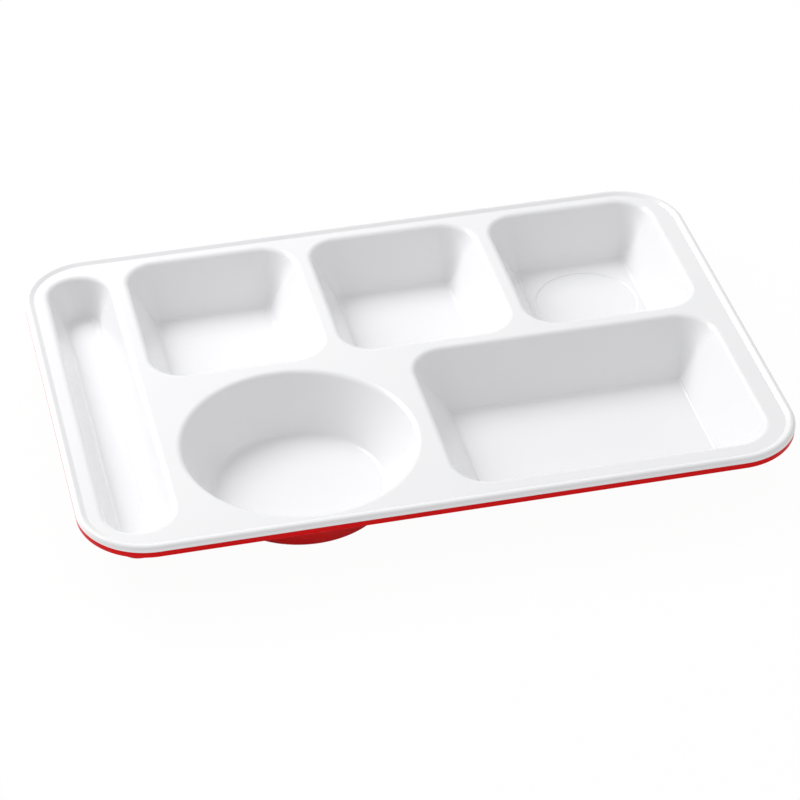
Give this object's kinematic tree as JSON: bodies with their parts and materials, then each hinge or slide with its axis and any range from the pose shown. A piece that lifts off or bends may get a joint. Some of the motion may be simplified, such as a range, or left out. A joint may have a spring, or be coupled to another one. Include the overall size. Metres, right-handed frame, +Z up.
{
  "type": "compartment plate",
  "caption": "Rectangular moulded plate with a raised lip, a cutlery trough, rounded rectangular wells and a round bowl, white over a red underside.",
  "frame": {"origin": "middle of the plate's bounding box, on the plane of the undersides that it rests on", "axes": "+X along the plate's length, away from the cutlery trough; +Y from the bowl's side to the row of small wells; +Z up, out of the wells"},
  "size_m": [0.37, 0.256, 0.033],
  "materials": {
    "white_melamine": "gloss",
    "red_melamine": "gloss"
  },
  "bodies": {
    "root": {"white_top_layer": "white_melamine", "red_under_layer": "red_melamine"}
  },
  "joints": []
}
